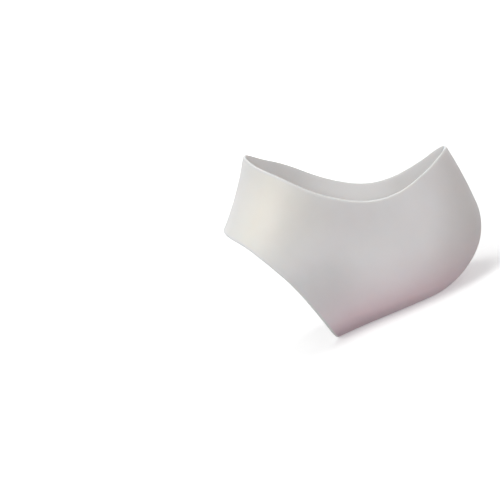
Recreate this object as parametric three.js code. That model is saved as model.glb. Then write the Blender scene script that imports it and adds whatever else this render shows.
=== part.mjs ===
// Silicone heel protector: one moulded sleeve, open above at the ankle and in front at the forefoot.
// Millimetres. It stands on its sole at Z = 0, with the toes' side towards -Y, the back of the heel
// towards +Y and X across the foot. It is the same on both sides of the plane X = 0.
import * as THREE from "three";

// Wall of the moulding, thinner towards both rims
const WALL = 2;
const RIM_WALL = 1.1;
const RIM_TAPER = 12;
const LIP = 0.45; // the rounded lip stands this share of the rim wall past the trim line

// Side view, as Y and Z, of the form that the sleeve is trimmed from. It runs on past both rims.
const HEEL_BACK = 54.4;
const BACK_RADIUS = 210;
const HEEL_RADIUS = 26;
const HEEL_TURN = 50; // degrees of the heel round before it eases into the sole
const SOLE_RADIUS = 40;
const FORM_TOP = 76;
const FORM_TOE = -46;
const INSTEP_TOP = [-24, 106];
const INSTEP_BEND = [-38.2, 77.3];
const INSTEP_TOE = [-66, 55.3];

// Cross sections of the form. Each lies in the plane of a chord from the instep line to the heel line.
// along: place of the chord, from the ankle at 0 to the toes at 1
// halfWidth: half of the greatest width; widest: where on the chord that is, from the instep at 0
// instepFull, heelFull: 0.55 is an ellipse, less is more pointed and more is squarer
// flat: half of the flat width at the heel end, which is the tread under the sole
const SECTIONS = [
  { along: 0.0, halfWidth: 32.0, widest: 0.5, instepFull: 0.58, heelFull: 0.46, flat: 1.5 },
  { along: 0.15, halfWidth: 31.5, widest: 0.52, instepFull: 0.59, heelFull: 0.5, flat: 1.5 },
  { along: 0.3, halfWidth: 31.5, widest: 0.54, instepFull: 0.56, heelFull: 0.53, flat: 2 },
  { along: 0.45, halfWidth: 32.0, widest: 0.58, instepFull: 0.54, heelFull: 0.61, flat: 6 },
  { along: 0.6, halfWidth: 32.5, widest: 0.52, instepFull: 0.54, heelFull: 0.63, flat: 11 },
  { along: 0.8, halfWidth: 33.0, widest: 0.46, instepFull: 0.57, heelFull: 0.62, flat: 10 },
  { along: 1.0, halfWidth: 34.0, widest: 0.48, instepFull: 0.57, heelFull: 0.66, flat: 11 },
];

// Soft forms of both side walls, by their centre in the side view. A negative depth is a swelling.
const SOFT_FORMS = [
  { name: "hollow beside the heel tendon", y: 41, z: 55, reach: 13, depth: 3.0 },
  { name: "hollow below the ankle bone", y: 2, z: 39, reach: 21, depth: 4.2 },
  { name: "arch in front of the heel", y: -18, z: 10, reach: 19, depth: 3.8 },
  { name: "ridge beside the instep", y: -27, z: 67, reach: 15, depth: -4.0 },
  { name: "pad beside the heel", y: 36, z: 15, reach: 14, depth: -1.8 },
];

// Trim lines in the side view: the ankle rim's height along the foot, the forefoot rim's place by height
const ANKLE_RIM = [
  { y: -32.5, z: 92 },
  { y: -28.2, z: 86.5 },
  { y: -20.2, z: 79 },
  { y: -5.2, z: 63.7 },
  { y: 10.8, z: 53.3 },
  { y: 23.8, z: 50.8 },
  { y: 38.8, z: 52.9 },
  { y: 52.3, z: 57.2 },
];
const FOREFOOT_RIM = [
  { z: 0, y: -26.6 },
  { z: 12, y: -27.8 },
  { z: 34, y: -33 },
  { z: 50, y: -40.8 },
  { z: 58, y: -46.5 },
  { z: 65.1, y: -54.4 },
];

// Facets: steps round half a section over its three curves, and rows from rim to rim
const INSTEP_STEPS = 12;
const HEEL_STEPS = 12;
const FLAT_STEPS = 2;
const ROWS = 34;

const HALF_STEPS = INSTEP_STEPS + HEEL_STEPS + FLAT_STEPS;
const COLUMNS = 2 * HALF_STEPS;
const TINY = 1e-3; // small step of a chord's place
const CORE = 0.6; // a chord that lies between the two rims all round
const HALVINGS = 40;

// Smooth curve through a table: key is the column that it runs over
function tableCurve(rows, key) {
  const names = Object.keys(rows[0]).filter((name) => name !== key);
  const places = Float64Array.from(rows, (row) => row[key]);
  const values = Float64Array.from(rows.flatMap((row) => names.map((name) => row[name])));
  const curve = new THREE.CubicInterpolant(places, values, names.length, new Float64Array(names.length));
  return (place) => {
    const found = curve.evaluate(place);
    return Object.fromEntries(names.map((name, i) => [name, found[i]]));
  };
}

const sectionAt = tableCurve(SECTIONS, "along");
const ankleRimAt = tableCurve(ANKLE_RIM, "y");
const forefootRimAt = tableCurve(FOREFOOT_RIM, "z");

const point2 = ([y, z]) => new THREE.Vector2(y, z);
const instepLine = new THREE.QuadraticBezierCurve(...[INSTEP_TOP, INSTEP_BEND, INSTEP_TOE].map(point2));

// Down the back, round the heel and along the sole
function makeHeelLine() {
  const line = new THREE.Path();
  const turn = THREE.MathUtils.degToRad(HEEL_TURN);
  const easing = SOLE_RADIUS - HEEL_RADIUS;
  const heelHeight = SOLE_RADIUS - easing * Math.sin(turn);
  const heelCentre = HEEL_BACK - HEEL_RADIUS;
  const topAngle = Math.asin((FORM_TOP - heelHeight) / BACK_RADIUS);
  line.absarc(HEEL_BACK - BACK_RADIUS, heelHeight, BACK_RADIUS, topAngle, 0, true);
  line.absarc(heelCentre, heelHeight, HEEL_RADIUS, 0, -turn, true);
  line.absarc(heelCentre - easing * Math.cos(turn), SOLE_RADIUS, SOLE_RADIUS, -turn, -Math.PI / 2, true);
  line.lineTo(FORM_TOE, 0);
  return line;
}
const heelLine = makeHeelLine();

// One point of half a section, as its half width and its share of the chord from instep to heel
function halfSection(section, step) {
  const { halfWidth, widest, instepFull, heelFull, flat } = section;
  const at = (x, share) => new THREE.Vector2(x, share);
  if (step <= INSTEP_STEPS) {
    const curve = new THREE.CubicBezierCurve(
      at(0, 0),
      at(instepFull * halfWidth, 0),
      at(halfWidth, widest * (1 - instepFull)),
      at(halfWidth, widest),
    );
    return curve.getPoint(step / INSTEP_STEPS);
  }
  const rest = 1 - widest;
  if (step <= INSTEP_STEPS + HEEL_STEPS) {
    const curve = new THREE.CubicBezierCurve(
      at(halfWidth, widest),
      at(halfWidth, widest + heelFull * rest),
      at(flat + heelFull * (halfWidth - flat), 1),
      at(flat, 1),
    );
    return curve.getPoint((step - INSTEP_STEPS) / HEEL_STEPS);
  }
  return at((flat * (HALF_STEPS - step)) / FLAT_STEPS, 1);
}

// A point of the form: columns run once round it, from the instep over +X to the heel and back over -X
function formPoint(along, column) {
  const turn = ((column % COLUMNS) + COLUMNS) % COLUMNS;
  const side = turn <= HALF_STEPS ? 1 : -1;
  const section = sectionAt(along);
  const half = halfSection(section, side > 0 ? turn : COLUMNS - turn);
  const foot = instepLine.getPointAt(along).lerp(heelLine.getPoint(along), half.y);
  const sunk = SOFT_FORMS.reduce((sum, { y, z, reach, depth }) => {
    const away = ((foot.x - y) ** 2 + (foot.y - z) ** 2) / reach ** 2;
    return sum + depth * Math.exp(-away);
  }, 0);
  const width = half.x - (sunk * half.x) / section.halfWidth;
  return new THREE.Vector3(side * width, foot.x, foot.y);
}

// Where a column crosses a trim line, by halving; kept is true on the sleeve's side of the line
function trim(column, from, to, kept) {
  let [outside, inside] = [from, to];
  for (let i = 0; i < HALVINGS; i++) {
    const middle = (outside + inside) / 2;
    if (kept(formPoint(middle, column))) inside = middle;
    else outside = middle;
  }
  return inside;
}

function formNormal(along, column) {
  const down = formPoint(along + TINY, column).sub(formPoint(along - TINY, column));
  const round = formPoint(along, column + 1).sub(formPoint(along, column - 1));
  return down.cross(round).normalize();
}

// Outer points of one column from rim to rim, with the outward normal and the wall at each
function makeColumn(column) {
  const first = trim(column, TINY, CORE, (p) => p.z < ankleRimAt(p.y).z);
  const last = trim(column, 1 - TINY, CORE, (p) => p.y > forefootRimAt(p.z).y);
  const rows = [];
  for (let i = 0; i <= ROWS; i++) {
    const along = first + ((last - first) * i) / ROWS;
    rows.push({ point: formPoint(along, column), normal: formNormal(along, column), run: 0 });
  }
  for (let i = 1; i <= ROWS; i++) {
    rows[i].run = rows[i - 1].run + rows[i].point.distanceTo(rows[i - 1].point);
  }
  const whole = rows[ROWS].run;
  for (const row of rows) {
    const fromRim = Math.min(row.run, whole - row.run);
    row.wall = RIM_WALL + (WALL - RIM_WALL) * THREE.MathUtils.smoothstep(fromRim, 0, RIM_TAPER);
    row.inner = row.point.clone().addScaledVector(row.normal, -row.wall);
  }
  return rows;
}

// Rounded lip between the outer and inner edge of a rim; beyond is the way out of the sleeve
function lipPoint(edge, next) {
  const beyond = edge.point.clone().sub(next.point).normalize();
  return edge.point.clone().lerp(edge.inner, 0.5).addScaledVector(beyond, LIP * edge.wall);
}

// Closed loop of a column: down the outside, round the forefoot lip, up the inside, round the ankle lip
function columnLoop(column) {
  const rows = makeColumn(column);
  const outer = rows.map((row) => row.point);
  const inner = rows.map((row) => row.inner).reverse();
  return [
    ...outer,
    lipPoint(rows[ROWS], rows[ROWS - 1]),
    ...inner,
    lipPoint(rows[0], rows[1]),
  ];
}

function makeSleeveGeometry() {
  const loops = Array.from({ length: COLUMNS }, (_, column) => columnLoop(column));
  const size = loops[0].length;
  const index = [];
  for (let column = 0; column < COLUMNS; column++) {
    const next = (column + 1) % COLUMNS;
    for (let i = 0; i < size; i++) {
      const j = (i + 1) % size;
      const [a, b, c, d] = [column * size + i, column * size + j, next * size + j, next * size + i];
      index.push(a, b, c, a, c, d);
    }
  }
  return new THREE.BufferGeometry().setFromPoints(loops.flat()).setIndex(index);
}

const silicone = new THREE.MeshStandardMaterial({ color: 0xd6d4d2, roughness: 0.45, metalness: 0 });
const sleeve = new THREE.Mesh(makeSleeveGeometry(), silicone);
sleeve.name = "heel_sleeve";
sleeve.geometry.computeVertexNormals();

const heelProtector = new THREE.Group();
heelProtector.add(sleeve);

export default heelProtector;
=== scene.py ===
import math

import bpy
import numpy as np
from mathutils import Matrix, Vector


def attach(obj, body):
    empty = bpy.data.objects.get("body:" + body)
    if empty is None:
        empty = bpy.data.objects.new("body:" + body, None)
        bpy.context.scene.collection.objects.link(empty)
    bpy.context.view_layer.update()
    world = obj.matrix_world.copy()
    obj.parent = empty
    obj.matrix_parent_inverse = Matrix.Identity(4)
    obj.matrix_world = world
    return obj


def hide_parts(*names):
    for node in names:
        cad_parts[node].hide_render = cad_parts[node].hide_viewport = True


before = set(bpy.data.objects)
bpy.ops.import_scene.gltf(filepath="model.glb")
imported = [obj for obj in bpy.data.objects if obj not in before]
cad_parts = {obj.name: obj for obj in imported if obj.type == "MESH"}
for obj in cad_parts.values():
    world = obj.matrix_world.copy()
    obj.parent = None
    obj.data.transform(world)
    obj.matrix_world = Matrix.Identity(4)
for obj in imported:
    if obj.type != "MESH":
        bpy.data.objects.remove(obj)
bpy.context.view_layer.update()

# The sleeve's own sizes are millimetres, as it is drawn, and MM takes its points to metres.
MM = 0.001

# Wall of the moulding, thinner towards both rims
WALL = 2.0
RIM_WALL = 1.1
RIM_TAPER = 12.0
LIP = 0.45  # the rounded lip stands this share of the rim wall past the trim line

# Side view, as Y and Z, of the form that the sleeve is trimmed from. It runs on past both rims.
HEEL_BACK = 54.4
BACK_RADIUS = 210.0
HEEL_RADIUS = 26.0
HEEL_TURN = math.radians(50)  # of the heel round before it eases into the sole
SOLE_RADIUS = 40.0
FORM_TOP = 76.0
FORM_TOE = -46.0
INSTEP_TOP = (-24.0, 106.0)
INSTEP_BEND = (-38.2, 77.3)
INSTEP_TOE = (-66.0, 55.3)

# Cross sections of the form. Each lies in the plane of a chord from the instep line to the heel line.
# along: place of the chord, from the ankle at 0 to the toes at 1
# half_width: half of the greatest width; widest: where on the chord that is, from the instep at 0
# instep_full, heel_full: 0.55 is an ellipse, less is more pointed and more is squarer
# flat: half of the flat width at the heel end, which is the tread under the sole
SECTIONS = [
    {"along": 0.0, "half_width": 32.0, "widest": 0.5, "instep_full": 0.58, "heel_full": 0.46, "flat": 1.5},
    {"along": 0.15, "half_width": 31.5, "widest": 0.52, "instep_full": 0.59, "heel_full": 0.5, "flat": 1.5},
    {"along": 0.3, "half_width": 31.5, "widest": 0.54, "instep_full": 0.56, "heel_full": 0.53, "flat": 2},
    {"along": 0.45, "half_width": 32.0, "widest": 0.58, "instep_full": 0.54, "heel_full": 0.61, "flat": 6},
    {"along": 0.6, "half_width": 32.5, "widest": 0.52, "instep_full": 0.54, "heel_full": 0.63, "flat": 11},
    {"along": 0.8, "half_width": 33.0, "widest": 0.46, "instep_full": 0.57, "heel_full": 0.62, "flat": 10},
    {"along": 1.0, "half_width": 34.0, "widest": 0.48, "instep_full": 0.57, "heel_full": 0.66, "flat": 11},
]

# Soft forms of both side walls, by their centre in the side view. A negative depth is a swelling.
SOFT_FORMS = [
    {"name": "hollow beside the heel tendon", "y": 41, "z": 55, "reach": 13, "depth": 3.0},
    {"name": "hollow below the ankle bone", "y": 2, "z": 39, "reach": 21, "depth": 4.2},
    {"name": "arch in front of the heel", "y": -18, "z": 10, "reach": 19, "depth": 3.8},
    {"name": "ridge beside the instep", "y": -27, "z": 67, "reach": 15, "depth": -4.0},
    {"name": "pad beside the heel", "y": 36, "z": 15, "reach": 14, "depth": -1.8},
]

# Trim lines in the side view: the ankle rim's height along the foot, the forefoot rim's place by height
ANKLE_RIM = [
    {"y": -32.5, "z": 92},
    {"y": -28.2, "z": 86.5},
    {"y": -20.2, "z": 79},
    {"y": -5.2, "z": 63.7},
    {"y": 10.8, "z": 53.3},
    {"y": 23.8, "z": 50.8},
    {"y": 38.8, "z": 52.9},
    {"y": 52.3, "z": 57.2},
]
FOREFOOT_RIM = [
    {"z": 0, "y": -26.6},
    {"z": 12, "y": -27.8},
    {"z": 34, "y": -33},
    {"z": 50, "y": -40.8},
    {"z": 58, "y": -46.5},
    {"z": 65.1, "y": -54.4},
]

# Mesh: steps round half a section over its three curves, rows from rim to rim, steps over a lip
INSTEP_STEPS = 44
HEEL_STEPS = 44
FLAT_STEPS = 8
ROWS = 110
LIP_STEPS = 6
HALF_STEPS = INSTEP_STEPS + HEEL_STEPS + FLAT_STEPS
COLUMNS = 2 * HALF_STEPS
TINY = 1e-3  # small step of a chord's place
CORE = 0.6  # a chord that lies between the two rims all round
HALVINGS = 40  # of the stretch of a column in which its rim lies
LINE_STEPS = 400  # points of a curve of the side view


def table_curve(rows, key):
    """Smooth curve through a table over its key column: the slope at a row is the mean of its two sides."""
    names = [name for name in rows[0] if name != key]
    places = np.array([row[key] for row in rows], float)
    values = np.array([[row[name] for name in names] for row in rows], float)
    slopes = np.diff(values, axis=0) / np.diff(places)[:, None]
    leans = np.vstack([slopes[:1], (slopes[:-1] + slopes[1:]) / 2, slopes[-1:]])

    def at(place):
        place = np.clip(place, places[0], places[-1])
        low = np.clip(np.searchsorted(places, place, side="right") - 1, 0, len(places) - 2)
        gap = (places[low + 1] - places[low])[..., None]
        t = (place[..., None] - places[low][..., None]) / gap
        start = (1 + 2 * t) * (1 - t) ** 2 * values[low] + t * (1 - t) ** 2 * gap * leans[low]
        end = t**2 * (3 - 2 * t) * values[low + 1] - t**2 * (1 - t) * gap * leans[low + 1]
        found = start + end
        return {name: found[..., i] for i, name in enumerate(names)}

    return at


section_at = table_curve(SECTIONS, "along")
ankle_rim_at = table_curve(ANKLE_RIM, "y")
forefoot_rim_at = table_curve(FOREFOOT_RIM, "z")


def by_length(points):
    """The line through these points, as Y and Z at a share of its length."""
    run = np.concatenate([[0], np.cumsum(np.linalg.norm(np.diff(points, axis=0), axis=1))])
    return lambda share: [np.interp(share * run[-1], run, points[:, i]) for i in (0, 1)]


def make_instep_line():
    """Down the instep, as a curve with one bend."""
    t = np.linspace(0, 1, LINE_STEPS)[:, None]
    top, bend, toe = (np.array(point) for point in (INSTEP_TOP, INSTEP_BEND, INSTEP_TOE))
    return by_length((1 - t) ** 2 * top + 2 * t * (1 - t) * bend + t**2 * toe)


def arc(y, z, radius, start, end):
    angle = np.linspace(start, end, LINE_STEPS)
    return np.column_stack([y + radius * np.cos(angle), z + radius * np.sin(angle)])


def make_heel_line():
    """Down the back, round the heel and along the sole."""
    easing = SOLE_RADIUS - HEEL_RADIUS
    heel_height = SOLE_RADIUS - easing * math.sin(HEEL_TURN)
    heel_centre = HEEL_BACK - HEEL_RADIUS
    sole_centre = heel_centre - easing * math.cos(HEEL_TURN)
    top_angle = math.asin((FORM_TOP - heel_height) / BACK_RADIUS)
    back = arc(HEEL_BACK - BACK_RADIUS, heel_height, BACK_RADIUS, top_angle, 0)
    heel = arc(heel_centre, heel_height, HEEL_RADIUS, 0, -HEEL_TURN)
    easing_in = arc(sole_centre, SOLE_RADIUS, SOLE_RADIUS, -HEEL_TURN, -math.pi / 2)
    return by_length(np.vstack([back, heel, easing_in, [(FORM_TOE, 0)]]))


instep_line = make_instep_line()
heel_line = make_heel_line()


def bezier(start, first, second, end, t):
    s = 1 - t
    return s**3 * start + 3 * s**2 * t * first + 3 * s * t**2 * second + t**3 * end


def half_section(section, step):
    """Half width, and share of the chord from instep to heel, at a step round half a section."""
    width, widest, flat = section["half_width"], section["widest"], section["flat"]
    instep_full, heel_full = section["instep_full"], section["heel_full"]
    t = np.clip(step / INSTEP_STEPS, 0, 1)
    instep_x = bezier(0, instep_full * width, width, width, t)
    instep_share = bezier(0, 0, widest * (1 - instep_full), widest, t)
    t = np.clip((step - INSTEP_STEPS) / HEEL_STEPS, 0, 1)
    heel_x = bezier(width, width, flat + heel_full * (width - flat), flat, t)
    heel_share = bezier(widest, widest + heel_full * (1 - widest), 1, 1, t)
    tread_x = flat * (HALF_STEPS - step) / FLAT_STEPS
    on_instep = step <= INSTEP_STEPS
    on_tread = step > INSTEP_STEPS + HEEL_STEPS
    half_width = np.where(on_instep, instep_x, np.where(on_tread, tread_x, heel_x))
    return half_width, np.where(on_instep, instep_share, heel_share)


def form_point(along, column):
    """Points of the form and their shares of the chord. Columns run round it from the instep over +X."""
    turn = column % COLUMNS
    side = np.where(turn <= HALF_STEPS, 1, -1)
    section = section_at(along)
    half_width, share = half_section(section, np.where(side > 0, turn, COLUMNS - turn))
    instep, heel = instep_line(along), heel_line(along)
    y, z = (start + (end - start) * share for start, end in zip(instep, heel))
    sunk = 0
    for form in SOFT_FORMS:
        away = ((y - form["y"]) ** 2 + (z - form["z"]) ** 2) / form["reach"] ** 2
        sunk = sunk + form["depth"] * np.exp(-away)
    width = half_width - sunk * half_width / section["half_width"]
    return np.stack([side * width, y, z], axis=-1), share


def trim(column, start, end, kept):
    """Where columns cross a trim line, by halving; kept is true on the sleeve's side of the line."""
    outside, inside = np.full(column.shape, start), np.full(column.shape, end)
    for _ in range(HALVINGS):
        middle = (outside + inside) / 2
        on_sleeve = kept(form_point(middle, column)[0])
        inside = np.where(on_sleeve, middle, inside)
        outside = np.where(on_sleeve, outside, middle)
    return inside


def form_normal(along, column):
    down = form_point(along + TINY, column)[0] - form_point(along - TINY, column)[0]
    across = form_point(along, column + 1)[0] - form_point(along, column - 1)[0]
    normal = np.cross(down, across)
    return normal / np.linalg.norm(normal, axis=-1, keepdims=True)


def smoothstep(value, low, high):
    t = np.clip((value - low) / (high - low), 0, 1)
    return t * t * (3 - 2 * t)


def make_lip(start, end, beyond):
    """Rows of points of a round lip from edge to edge, edges left out; beyond points out of the sleeve."""
    wall = np.linalg.norm(start - end, axis=-1, keepdims=True)
    way = beyond / np.linalg.norm(beyond, axis=-1, keepdims=True)
    rows = []
    for i in range(1, LIP_STEPS):
        angle = math.pi * i / LIP_STEPS
        across = (start + end) / 2 + (start - end) / 2 * math.cos(angle)
        rows.append(across + way * wall * LIP * math.sin(angle))
    return np.array(rows)


def make_sleeve_points():
    """Rows of points round the sleeve: outside from ankle to forefoot, lip, inside back up, lip.

    With them come each point's share of the chord from instep to heel, its way to the nearer rim, and 1 if
    it is outside.
    """
    column = np.arange(COLUMNS)
    first = trim(column, TINY, CORE, lambda p: p[..., 2] < ankle_rim_at(p[..., 1])["z"])
    last = trim(column, 1 - TINY, CORE, lambda p: p[..., 1] > forefoot_rim_at(p[..., 2])["y"])
    along = first + (last - first) * np.linspace(0, 1, ROWS + 1)[:, None]
    outer, share = form_point(along, column)
    steps = np.linalg.norm(np.diff(outer, axis=0), axis=-1)
    run = np.vstack([np.zeros(COLUMNS), np.cumsum(steps, axis=0)])
    from_rim = np.minimum(run, run[-1] - run)
    wall = RIM_WALL + (WALL - RIM_WALL) * smoothstep(from_rim, 0, RIM_TAPER)
    inner = outer - form_normal(along, column) * wall[..., None]
    forefoot_lip = make_lip(outer[-1], inner[-1], outer[-1] - outer[-2])
    ankle_lip = make_lip(inner[0], outer[0], outer[0] - outer[1])
    at_rim = np.zeros((LIP_STEPS - 1, COLUMNS))
    points = np.vstack([outer, forefoot_lip, inner[::-1], ankle_lip])
    shares = np.vstack([share, at_rim + share[-1], share[::-1], at_rim + share[0]])
    ways = np.vstack([from_rim, at_rim, from_rim[::-1], at_rim])
    outside = np.vstack([np.ones(outer.shape[:2]), at_rim + 1, np.zeros(outer.shape[:2]), at_rim + 1])
    return points * MM, {"heelward": shares, "from_rim": ways * MM, "outside": outside}


def new_mesh(name, points, faces):
    """Smooth-shaded object from points and faces."""
    mesh = bpy.data.meshes.new(name)
    mesh.from_pydata(points.tolist(), [], faces.tolist())
    mesh.shade_smooth()
    piece = bpy.data.objects.new(name, mesh)
    bpy.context.scene.collection.objects.link(piece)
    return piece


def grid_faces(rows, columns, closed_rows):
    """Quads over a grid of points whose columns close on themselves, and its rows too if closed_rows."""
    row, column = np.mgrid[0 : rows if closed_rows else rows - 1, 0:columns]
    below, beside = (row + 1) % rows, (column + 1) % columns
    corners = [(row, column), (below, column), (below, beside), (row, beside)]
    return np.stack([r * columns + c for r, c in corners], axis=-1).reshape(-1, 4)


def make_sleeve():
    points, marks = make_sleeve_points()
    faces = grid_faces(*points.shape[:2], closed_rows=True)
    sleeve = new_mesh("silicone_sleeve", points.reshape(-1, 3), faces)
    for name, values in marks.items():
        attribute = sleeve.data.attributes.new(name, "FLOAT", "POINT")
        attribute.data.foreach_set("value", values.ravel().astype(np.float32))
    return sleeve


# Sockets of a mix of colours, by number, because their names aren't theirs alone
MIX_SHARE = 0
MIX_START = 6
MIX_END = 7
MIX_COLOUR = 2

WHOLE_SPAN = (0, 1)  # of a share
WHITE = (1, 1, 1, 1)


def new_material(name, finish):
    """A material with its tree and its main shader, which has the finish all over."""
    material = bpy.data.materials.new(name)
    material.use_nodes = True
    shader = material.node_tree.nodes["Principled BSDF"]
    for socket, value in finish.items():
        shader.inputs[socket].default_value = value
    return material, material.node_tree, shader


def new_node(tree, kind, inputs, **settings):
    """A node with these settings. Each of its inputs is linked to a socket or set to a value."""
    node = tree.nodes.new(kind)
    for name, value in settings.items():
        setattr(node, name, value)
    for socket, value in inputs.items():
        if isinstance(value, bpy.types.NodeSocket):
            tree.links.new(value, node.inputs[socket])
        else:
            node.inputs[socket].default_value = value
    return node


def new_place(tree):
    """Where a point is, in the frame's axes."""
    return new_node(tree, "ShaderNodeTexCoord", {}).outputs["Object"]


def new_mark(tree, name):
    """A number that the mesh keeps at each point."""
    return new_node(tree, "ShaderNodeAttribute", {}, attribute_name=name).outputs["Fac"]


def new_range(tree, value, span, target, kind="LINEAR"):
    """A number that goes over the target as the value goes over the span."""
    inputs = {
        "Value": value,
        "From Min": span[0],
        "From Max": span[1],
        "To Min": target[0],
        "To Max": target[1],
    }
    return new_node(tree, "ShaderNodeMapRange", inputs, interpolation_type=kind).outputs["Result"]


def new_noise(tree, place, size, detail):
    """Soft random patches of about this size."""
    inputs = {"Vector": place, "Scale": 1 / size, "Detail": detail}
    return new_node(tree, "ShaderNodeTexNoise", inputs).outputs["Fac"]


def new_mix(tree, share, start, end):
    """A colour that goes from start to end as the share goes from 0 to 1."""
    inputs = {MIX_SHARE: share, MIX_START: start, MIX_END: end}
    return new_node(tree, "ShaderNodeMix", inputs, data_type="RGBA").outputs[MIX_COLOUR]


def new_ramp(tree, share, stops):
    """Colour and cover that go through these stops, whose places rise."""
    node = new_node(tree, "ShaderNodeValToRGB", {"Fac": share})
    elements = node.color_ramp.elements
    for place, _ in stops[1:-1]:
        elements.new(place)
    for element, (place, colour) in zip(elements, stops):
        element.position = place
        element.color = colour
    return node.outputs["Color"], node.outputs["Alpha"]


# Silicone: tints by the share of the way from the instep line to the heel line. The cream and mauve hues
# are the silicone's own, but the lightness is partly painted light: a painted highlight at the instep band,
# painted shade just behind it, painted light over the heel's back and painted shade towards the heel's
# lower edge.
TINTS_AND_PAINTED_LIGHT = [
    (0.0, (0.80, 0.795, 0.785, 1)),
    (0.05, (0.82, 0.805, 0.77, 1)),
    (0.13, (0.84, 0.808, 0.745, 1)),
    (0.32, (0.752, 0.742, 0.728, 1)),
    (0.45, (0.765, 0.752, 0.757, 1)),
    (0.62, (0.765, 0.752, 0.757, 1)),
    (0.8, (0.8, 0.78, 0.785, 1)),
    (0.95, (0.755, 0.727, 0.722, 1)),
]
# Mauve over the tints, by the share of the way up its span of heights. The mauve is partly the sleeve's own
# hue and
# partly painted shade: its darkest stop, at the bottom, is painted contact shade near the floor. Heights
# are taken along a slope that lets the mauve and its painted shade rise towards the toes. The fourth number
# is how much of it shows.
BLUSHES_AND_PAINTED_SHADE = [
    (0.06, (0.62, 0.49, 0.55, 1)),
    (0.25, (0.91, 0.705, 0.765, 0.66)),
    (0.45, (0.92, 0.73, 0.785, 0.34)),
    (0.65, (0.92, 0.73, 0.785, 0.12)),
    (0.9, (0.92, 0.73, 0.785, 0)),
]
BLUSH_AND_SHADE_SPAN = (-0.002, 0.035)
BLUSH_AND_SHADE_SLOPE = 0.08
INSIDE_TINT = (0.78, 0.77, 0.765, 1)
RIM_TINT = (0.78, 0.77, 0.76, 1)
RIM_REACH = 0.0012
# Faint clouds in the colour and the gloss, and a fine grain
CLOUD_SIZE = 0.012
CLOUD_DETAIL = 4
CLOUD_RANGE = (0.96, 1.03)
ROUGHNESS_RANGE = (0.34, 0.46)
GRAIN_SIZE = 0.0004
GRAIN_DETAIL = 2
GRAIN_DEPTH = 0.00002
# The same all over: how light bends, how it spreads below the surface, and a trace of sheen
SILICONE_FINISH = {
    "IOR": 1.41,
    "Subsurface Weight": 0.85,
    "Subsurface Radius": (1.0, 0.86, 0.8),
    "Subsurface Scale": 0.003,
    "Sheen Weight": 0.05,
    "Sheen Roughness": 0.5,
}


def make_silicone_colour(tree, place, clouds):
    """Tints and mauve outside, lightened and darkened there as painted highlight and painted shade, one
    colour inside and one along the rims, with faint clouds over all.
    """
    # Height along a slope that lifts the painted shade near the floor towards the toes.
    slope = {0: place, 1: (0, BLUSH_AND_SHADE_SLOPE, 1)}
    height = new_node(tree, "ShaderNodeVectorMath", slope, operation="DOT_PRODUCT").outputs["Value"]
    # Lighter and darker along the sleeve as painted highlight and painted shade, over the silicone's own
    # cream and mauve.
    tint_and_light, _ = new_ramp(tree, new_mark(tree, "heelward"), TINTS_AND_PAINTED_LIGHT)
    # Mauve by height, darkest near the floor as painted contact shade.
    blush_and_shade, cover = new_ramp(tree, new_range(tree, height, BLUSH_AND_SHADE_SPAN, WHOLE_SPAN), BLUSHES_AND_PAINTED_SHADE)
    blushed_and_shaded = new_mix(tree, cover, tint_and_light, blush_and_shade)
    sided = new_mix(tree, new_mark(tree, "outside"), INSIDE_TINT, blushed_and_shaded)
    at_rim = new_range(tree, new_mark(tree, "from_rim"), (0, RIM_REACH), (1, 0), "SMOOTHSTEP")
    edged = new_mix(tree, at_rim, sided, RIM_TINT)
    shade = {0: edged, "Scale": new_range(tree, clouds, WHOLE_SPAN, CLOUD_RANGE)}
    return new_node(tree, "ShaderNodeVectorMath", shade, operation="SCALE").outputs["Vector"]


def make_silicone():
    """Milky, satin silicone: cream at the instep, mauve near the sole, plain inside and along the rims,
    with painted highlight and painted shade in its tones.
    """
    material, tree, shader = new_material("silicone", SILICONE_FINISH)
    place = new_place(tree)
    clouds = new_noise(tree, place, CLOUD_SIZE, CLOUD_DETAIL)
    grain = new_noise(tree, place, GRAIN_SIZE, GRAIN_DETAIL)
    bump = new_node(tree, "ShaderNodeBump", {"Distance": GRAIN_DEPTH, "Height": grain})
    tree.links.new(make_silicone_colour(tree, place, clouds), shader.inputs["Base Color"])
    tree.links.new(new_range(tree, clouds, WHOLE_SPAN, ROUGHNESS_RANGE), shader.inputs["Roughness"])
    tree.links.new(bump.outputs["Normal"], shader.inputs["Normal"])
    return material


# Studio: a white floor that sweeps up into a wall all round. The paper glows a little, more towards the
# wall, so that it stays white, and it sends no light back to the sleeve, whose underside stays shaded.
FLOOR_RADIUS = 1.6
FLOOR_EYE = 0.001  # radius of the innermost ring of points, below the sole
FLOOR_DROP = 0.00005  # clear of the sole, so that the two faces don't share a plane
FLOOR_SEGMENTS = 96
SWEEP_RADIUS = 0.8
SWEEP_STEPS = 16
WALL_TOP = 2.6
PAPER_FINISH = {"Base Color": (0.93, 0.93, 0.93, 1), "Roughness": 0.9, "Emission Color": WHITE}
GLOW_SPAN = (0.15, 1.2)
GLOW_RANGE = (0.28, 0.75)


def make_paper():
    """White paper whose glow grows with the distance from the middle of the floor."""
    material, tree, shader = new_material("floor_paper", PAPER_FINISH)
    away = new_node(tree, "ShaderNodeVectorMath", {0: new_place(tree)}, operation="LENGTH").outputs["Value"]
    glow = new_range(tree, away, GLOW_SPAN, GLOW_RANGE, "SMOOTHSTEP")
    tree.links.new(glow, shader.inputs["Emission Strength"])
    return material


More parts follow.
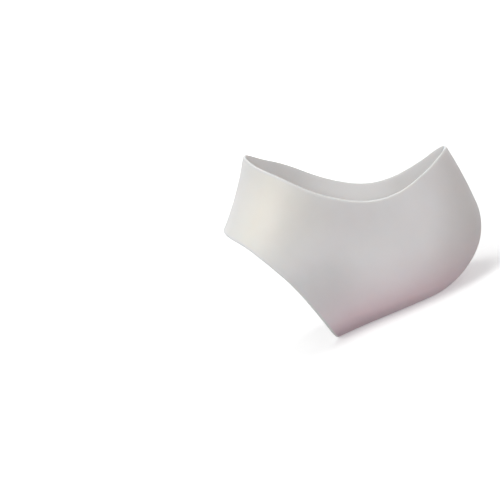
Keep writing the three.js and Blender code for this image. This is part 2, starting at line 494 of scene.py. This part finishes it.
def make_floor():
    """Rings of points from the middle of the floor out to the sweep and up to the top of the wall."""
    turn = np.linspace(0, math.pi / 2, SWEEP_STEPS)
    sweep = FLOOR_RADIUS + SWEEP_RADIUS * np.sin(turn)
    radius = np.concatenate([[FLOOR_EYE], sweep, sweep[-1:]])
    height = np.concatenate([[0], SWEEP_RADIUS * (1 - np.cos(turn)), [WALL_TOP]]) - FLOOR_DROP
    angle = np.linspace(0, 2 * math.pi, FLOOR_SEGMENTS, endpoint=False)
    across = [np.outer(radius, np.cos(angle)), np.outer(radius, np.sin(angle))]
    points = np.stack([*across, np.outer(height, np.ones(FLOOR_SEGMENTS))], axis=-1)
    faces = grid_faces(len(radius), FLOOR_SEGMENTS, closed_rows=False)
    floor = new_mesh("floor", points.reshape(-1, 3), faces)
    floor.data.materials.append(make_paper())
    floor.visible_diffuse = False
    return floor


# Lamps, aimed at the middle of the sleeve: place and size in metres, power in watts
SLEEVE_MIDDLE = Vector((0, 0, 0.0475))
LAMPS = [
    {"name": "key", "place": (0.94, -1.24, 1.3), "size": 1.2, "power": 12},
    {"name": "fill", "place": (1.88, 0.52, 0.48), "size": 1.4, "power": 16},
    {"name": "top", "place": (0, 0, 2), "size": 1.2, "power": 14},
    {"name": "far_side", "place": (-1.9, 0.3, 0.3), "size": 1.2, "power": 9},
]
SKY_STRENGTH = 0.28


def make_lamps():
    for lamp in LAMPS:
        light = bpy.data.lights.new(lamp["name"], "AREA")
        light.size = lamp["size"]
        light.energy = lamp["power"]
        holder = bpy.data.objects.new(lamp["name"], light)
        holder.location = lamp["place"]
        holder.rotation_euler = (SLEEVE_MIDDLE - holder.location).to_track_quat("-Z", "Y").to_euler()
        bpy.context.scene.collection.objects.link(holder)


def make_sky():
    """Even white light from all round, and colours shown as they are."""
    world = bpy.data.worlds.new("studio")
    world.use_nodes = True
    background = world.node_tree.nodes["Background"]
    background.inputs["Color"].default_value = WHITE
    background.inputs["Strength"].default_value = SKY_STRENGTH
    bpy.context.scene.world = world
    bpy.context.scene.view_settings.view_transform = "Standard"


# Camera at the photograph's angle, on the sleeve's +X side and rolled so that the toes' side points down.
# Its lens and sensor are in millimetres. SLEEVE_PIXEL is where the sleeve's middle shows in the picture
# of IMAGE_SIDE pixels.
AZIMUTH = math.radians(94)
ELEVATION = math.radians(8)
ROLL = math.radians(25)
DISTANCE = 0.632
LENS = 100.0
SENSOR = 36.0
IMAGE_SIDE = 500
SLEEVE_PIXEL = (348.6, 214.4)


def make_camera():
    """A camera that sees the sleeve's middle at SLEEVE_PIXEL."""
    back = Vector((
        math.sin(AZIMUTH) * math.cos(ELEVATION),
        -math.cos(AZIMUTH) * math.cos(ELEVATION),
        math.sin(ELEVATION),
    ))
    level = Vector((math.cos(AZIMUTH), math.sin(AZIMUTH), 0))
    upright = back.cross(level)
    right = math.cos(ROLL) * level - math.sin(ROLL) * upright
    up = math.sin(ROLL) * level + math.cos(ROLL) * upright
    pixel = SENSOR / IMAGE_SIDE / LENS
    aside = (IMAGE_SIDE / 2 - SLEEVE_PIXEL[0]) * pixel
    above = (SLEEVE_PIXEL[1] - IMAGE_SIDE / 2) * pixel
    away = (back - aside * right - above * up).normalized()
    right = (right - right.dot(away) * away).normalized()
    up = away.cross(right)
    data = bpy.data.cameras.new("camera")
    data.lens = LENS
    data.sensor_width = SENSOR
    camera = bpy.data.objects.new("camera", data)
    turned = Matrix((right, up, away)).transposed().to_4x4()
    camera.matrix_world = Matrix.Translation(SLEEVE_MIDDLE + back * DISTANCE) @ turned
    bpy.context.scene.collection.objects.link(camera)
    bpy.context.scene.camera = camera


make_camera()
make_lamps()
make_sky()
sleeve = make_sleeve()
sleeve.data.materials.append(make_silicone())
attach(sleeve, "root")
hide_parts("heel_sleeve")
make_floor()
